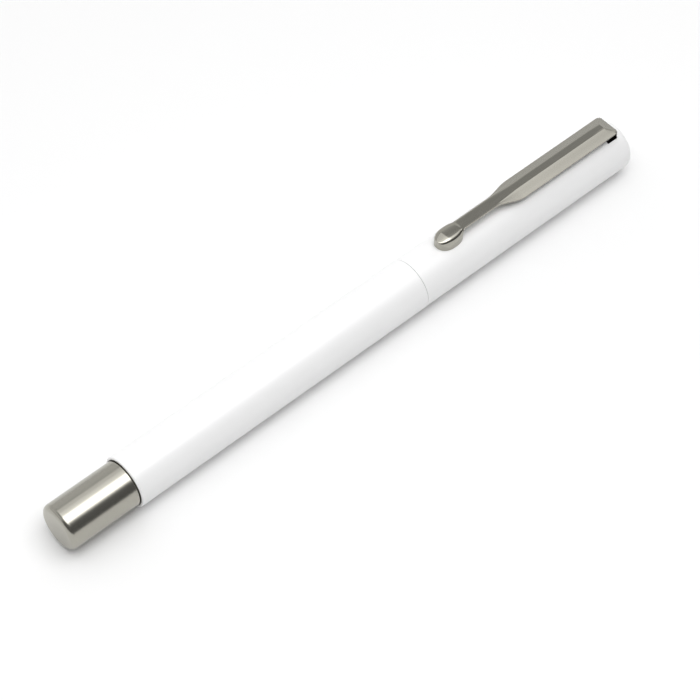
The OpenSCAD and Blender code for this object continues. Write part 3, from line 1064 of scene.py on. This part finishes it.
def make_reservoir():
    """The fibre core that holds the ink, and the thin film wrapped round it."""
    x0, x1, r = span("ink_reservoir")
    outline = rounded([
        (x0, 0, 0), (x0, r, 0.15), (x1, r, 0.15), (x1, NIB_R + FIT, 0.05), (x1 - NIB_SEAT, NIB_R + FIT, 0),
        (x1 - NIB_SEAT, 0, 0),
    ])
    lathed("ink_core", outline, 96, "refill", "reservoir_fibre", "ink_reservoir")
    x0, x1, r = span("reservoir_film")
    wrap = [(x0, r - 0.09), (x0, r), (x1, r), (x1, r - 0.09)]
    lathed("core_wrap", wrap, 96, "refill", "film", "reservoir_film")


def make_vent_plug():
    """The plug in the tube's rear end, with a vent and the peg that the spring sits round."""
    x0, x1, r = span("cartridge_plug")
    flange0 = x0 + 3
    flange1 = flange0 + 1.48
    outline = rounded([
        (x0, 0.5, 0.1), (x0, 1.5, 0.3), (flange0, 1.5, 0.1), (flange0, r, 0.15), (flange1, r, 0.1),
        (flange1, TUBE_BORE_R - FIT, 0), (x1, TUBE_BORE_R - FIT, 0.3), (x1, 0.5, 0.1),
    ])
    lathed("vent_plug", outline, 96, "refill", "dark_plastic", "cartridge_plug")


def make_nib():
    """The pressed fibre nib with its bullet point."""
    x0, x1, r = span("fibre_nib")
    outline = rounded([
        (x0, 0, 0), (x0, r, 0.1), (x1 - 2.1, r, 0.6), (x1 - 0.7, 0.72 * r, 0.5), (x1, 0.3 * r, 0.22),
        (x1, 0, 0),
    ], steps=8)
    fitted(smooth(turned("nib", outline, 64), 40.0), "refill", "nib_fibre", ["fibre_nib"])


def make_spring(sizes):
    """The spring behind the cartridge, with closed end turns."""
    x0, x1, r = span("refill_spring")
    wire = 0.22
    coil = wound_wire().grow(
        "refill_coil", "spring_steel", Radius=(r - wire) * MM, Start=(x0 + wire) * MM,
        Length=(x1 - x0 - 2 * wire) * MM, Turns=sizes.spring_turns, Half_width=wire * MM,
        Half_depth=wire * MM, End_rise=2 * wire * MM, End_fade=0.0)
    fitted(smooth(coil, 60.0), "refill_spring", "spring_steel", ["refill_spring"])
    pressed = next(joint["range_m"][1] for joint in frame["joints"] if joint["name"] == "refill_press")
    1 - pressed / ((x1 - x0) * MM)
    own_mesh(coil)


def make_spring_cup():
    """The cup that holds the spring and guides the cartridge's tail."""
    x0, x1, r = span("spring_seat")
    body_r, cup = CARTRIDGE_R + 0.9, CARTRIDGE_R + 0.1
    floor_x = x0 + 0.75
    outline = rounded([
        (x0, 1.8, 0.1), (x0, r, 0.25), (x0 + 1.55, r, 0.2), (x0 + 1.55, body_r, 0.25),
        (x1 - 1.2, body_r, 0.25), (x1 - 1.2, r, 0.2), (x1, r, 0.25), (x1, cup, 0.5), (floor_x, cup, 0),
        (floor_x, 1.8, 0),
    ])
    lathed("spring_cup", outline, 96, "spring_seat", "dark_plastic", "spring_seat")


# ---------------------------------------------------------------- stage


def add_panel_light(name, centre, size, radiance):
    """A soft panel of a given brightness that hangs level above the pen."""
    data = bpy.data.lights.new(name, "AREA")
    data.shape = "RECTANGLE"
    data.size, data.size_y = size
    data.energy = radiance * math.pi * size[0] * size[1]
    light = bpy.data.objects.new(name, data)
    bpy.context.scene.collection.objects.link(light)
    light.location = centre


def light_room():
    """The room round the panels: pale low down on the far side, dark low down on the near side."""
    world = bpy.data.worlds.new("studio")
    bpy.context.scene.world = world
    world.use_nodes = True
    nodes = Nodes(world.node_tree)
    nodes.tree.nodes.clear()
    way = nodes.add("ShaderNodeTexCoord", out="Generated")
    across = nodes.add("ShaderNodeSeparateXYZ", None, {"Vector": way}, out="Y")
    up = nodes.add("ShaderNodeSeparateXYZ", None, {"Vector": way}, out="Z")
    far = nodes.ramp(across, -0.12, 0.12)
    far_side = 0.78 - nodes.ramp(up, 0.6, 0.76) * 0.38
    near_side = 0.17 + nodes.ramp(up, 0.62, 0.84) * 1.1
    level = far * far_side + (1.0 - far) * near_side
    background = nodes.add("ShaderNodeBackground", None, {"Color": (1.0, 1.0, 1.0, 1.0), "Strength": level})
    nodes.add("ShaderNodeOutputWorld", None, {"Surface": background})


def aim_camera():
    """Looks down at the pen from its tail's side, with a moderately long lens."""
    azimuth, elevation = math.radians(-41.65), math.radians(52.04)
    distance = 507.7 * MM
    aim = Vector((-3.95, -4.24, AXIS_Z)) * MM
    level = math.cos(elevation)
    back = Vector((math.sin(azimuth) * level, -math.cos(azimuth) * level, math.sin(elevation)))
    data = bpy.data.cameras.new("camera")
    data.sensor_width = 36.0
    data.lens = 144.0
    data.clip_start, data.clip_end = 0.01, 20.0
    camera = bpy.data.objects.new("camera", data)
    bpy.context.scene.collection.objects.link(camera)
    camera.location = aim + back * distance
    camera.rotation_mode = "QUATERNION"
    camera.rotation_quaternion = (-back).to_track_quat("-Z", "Y")
    bpy.context.scene.camera = camera


def make_stage(colours):
    """The pale floor, the soft light and the camera."""
    half = 2.5
    corners = [(-half, -half, 0), (half, -half, 0), (half, half, 0), (-half, half, 0)]
    mesh = bpy.data.meshes.new("floor")
    mesh.from_pydata(corners, [], [(0, 1, 2, 3)])
    floor = new_object("floor", mesh)
    floor.data.materials.append(floor_card("floor_card", colours.floor))
    add_panel_light("main_panel", (-0.03, -0.18, 0.5), (0.54, 0.36), 2.2)
    add_panel_light("middle_panel", (-0.03, 0.09, 0.5), (0.54, 0.18), 1.05)
    add_panel_light("far_panel", (-0.03, 0.3, 0.5), (0.54, 0.24), 0.7)
    light_room()
    aim_camera()
    view = bpy.context.scene.view_settings
    view.view_transform = "Standard"
    view.look = "None"
    view.exposure = 0.0
    view.gamma = 0.92


# ---------------------------------------------------------------- operators and panel


class PEN_OT_barrel(bpy.types.Operator):
    """Make the barrel tube, the tail plug and the thread bush"""

    bl_idname = "pen.barrel"
    bl_label = "Barrel"
    bl_options = {"REGISTER", "UNDO"}

    def execute(self, context):
        scene = context.scene
        finishes(scene.pen_colours)
        make_barrel_tube(scene.pen_sizes)
        make_tail_plug()
        make_bush()
        return {"FINISHED"}


class PEN_OT_cup(bpy.types.Operator):
    """Make the steel tail cup"""

    bl_idname = "pen.cup"
    bl_label = "Tail Cup"
    bl_options = {"REGISTER", "UNDO"}

    def execute(self, context):
        scene = context.scene
        finishes(scene.pen_colours)
        make_cup(scene.pen_sizes)
        return {"FINISHED"}


class PEN_OT_cap(bpy.types.Operator):
    """Make the cap, its liner and the block that holds the clip"""

    bl_idname = "pen.cap"
    bl_label = "Cap"
    bl_options = {"REGISTER", "UNDO"}

    def execute(self, context):
        scene = context.scene
        finishes(scene.pen_colours)
        make_cap_shell(scene.pen_sizes)
        make_anchor()
        make_liner(scene.pen_sizes)
        return {"FINISHED"}


class PEN_OT_clip(bpy.types.Operator):
    """Make the pocket clip"""

    bl_idname = "pen.clip"
    bl_label = "Pocket Clip"
    bl_options = {"REGISTER", "UNDO"}

    def execute(self, context):
        scene = context.scene
        finishes(scene.pen_colours)
        make_clip(scene.pen_sizes)
        return {"FINISHED"}


class PEN_OT_section(bpy.types.Operator):
    """Make the writing section, its rings and the nose cone"""

    bl_idname = "pen.section"
    bl_label = "Writing Section"
    bl_options = {"REGISTER", "UNDO"}

    def execute(self, context):
        scene = context.scene
        finishes(scene.pen_colours)
        make_grip()
        make_grip_ribs(scene.pen_sizes)
        make_trim_ring()
        make_nose()
        make_o_ring()
        make_snap_ring()
        return {"FINISHED"}


class PEN_OT_threads(bpy.types.Operator):
    """Make the threads of the section and the bush"""

    bl_idname = "pen.threads"
    bl_label = "Threads"
    bl_options = {"REGISTER", "UNDO"}

    def execute(self, context):
        scene = context.scene
        finishes(scene.pen_colours)
        make_threads(scene.pen_sizes)
        return {"FINISHED"}


class PEN_OT_refill(bpy.types.Operator):
    """Make the cartridge and its nib"""

    bl_idname = "pen.refill"
    bl_label = "Cartridge"
    bl_options = {"REGISTER", "UNDO"}

    def execute(self, context):
        scene = context.scene
        finishes(scene.pen_colours)
        make_tube()
        make_nib_holder()
        make_reservoir()
        make_vent_plug()
        make_nib()
        return {"FINISHED"}


class PEN_OT_spring(bpy.types.Operator):
    """Make the spring behind the cartridge and its cup"""

    bl_idname = "pen.spring"
    bl_label = "Spring"
    bl_options = {"REGISTER", "UNDO"}

    def execute(self, context):
        scene = context.scene
        finishes(scene.pen_colours)
        make_spring(scene.pen_sizes)
        make_spring_cup()
        return {"FINISHED"}


class PEN_OT_stage(bpy.types.Operator):
    """Make the floor, the light and the camera"""

    bl_idname = "pen.stage"
    bl_label = "Stage"
    bl_options = {"REGISTER", "UNDO"}

    def execute(self, context):
        make_stage(context.scene.pen_colours)
        return {"FINISHED"}


MAKERS = (
    PEN_OT_barrel, PEN_OT_cup, PEN_OT_cap, PEN_OT_clip, PEN_OT_section, PEN_OT_threads, PEN_OT_refill,
    PEN_OT_spring, PEN_OT_stage,
)


class PEN_PT_sidebar(bpy.types.Panel):
    """Lists the pen's sizes, colours and makers"""

    bl_idname = "PEN_PT_sidebar"
    bl_label = "Tester Pen"
    bl_space_type = "VIEW_3D"
    bl_region_type = "UI"
    bl_category = "Tester Pen"

    def draw(self, context):
        for group in (context.scene.pen_sizes, context.scene.pen_colours):
            box = self.layout.box()
            for name in group.__annotations__:
                box.prop(group, name)
        for maker in MAKERS:
            self.layout.operator(maker.bl_idname)


def register():
    for cls in (PenSizes, PenColours, *MAKERS, PEN_PT_sidebar):
        bpy.utils.register_class(cls)
    bpy.types.Scene.pen_sizes = PointerProperty(type=PenSizes)
    bpy.types.Scene.pen_colours = PointerProperty(type=PenColours)


def unregister():
    del bpy.types.Scene.pen_colours
    del bpy.types.Scene.pen_sizes
    for cls in reversed((PenSizes, PenColours, *MAKERS, PEN_PT_sidebar)):
        bpy.utils.unregister_class(cls)


def main():
    register()
    bpy.ops.pen.barrel()
    bpy.ops.pen.cup()
    bpy.ops.pen.cap()
    bpy.ops.pen.clip()
    bpy.ops.pen.section()
    bpy.ops.pen.threads()
    bpy.ops.pen.refill()
    bpy.ops.pen.spring()
    bpy.ops.pen.stage()


if __name__ == "__main__":
    main()
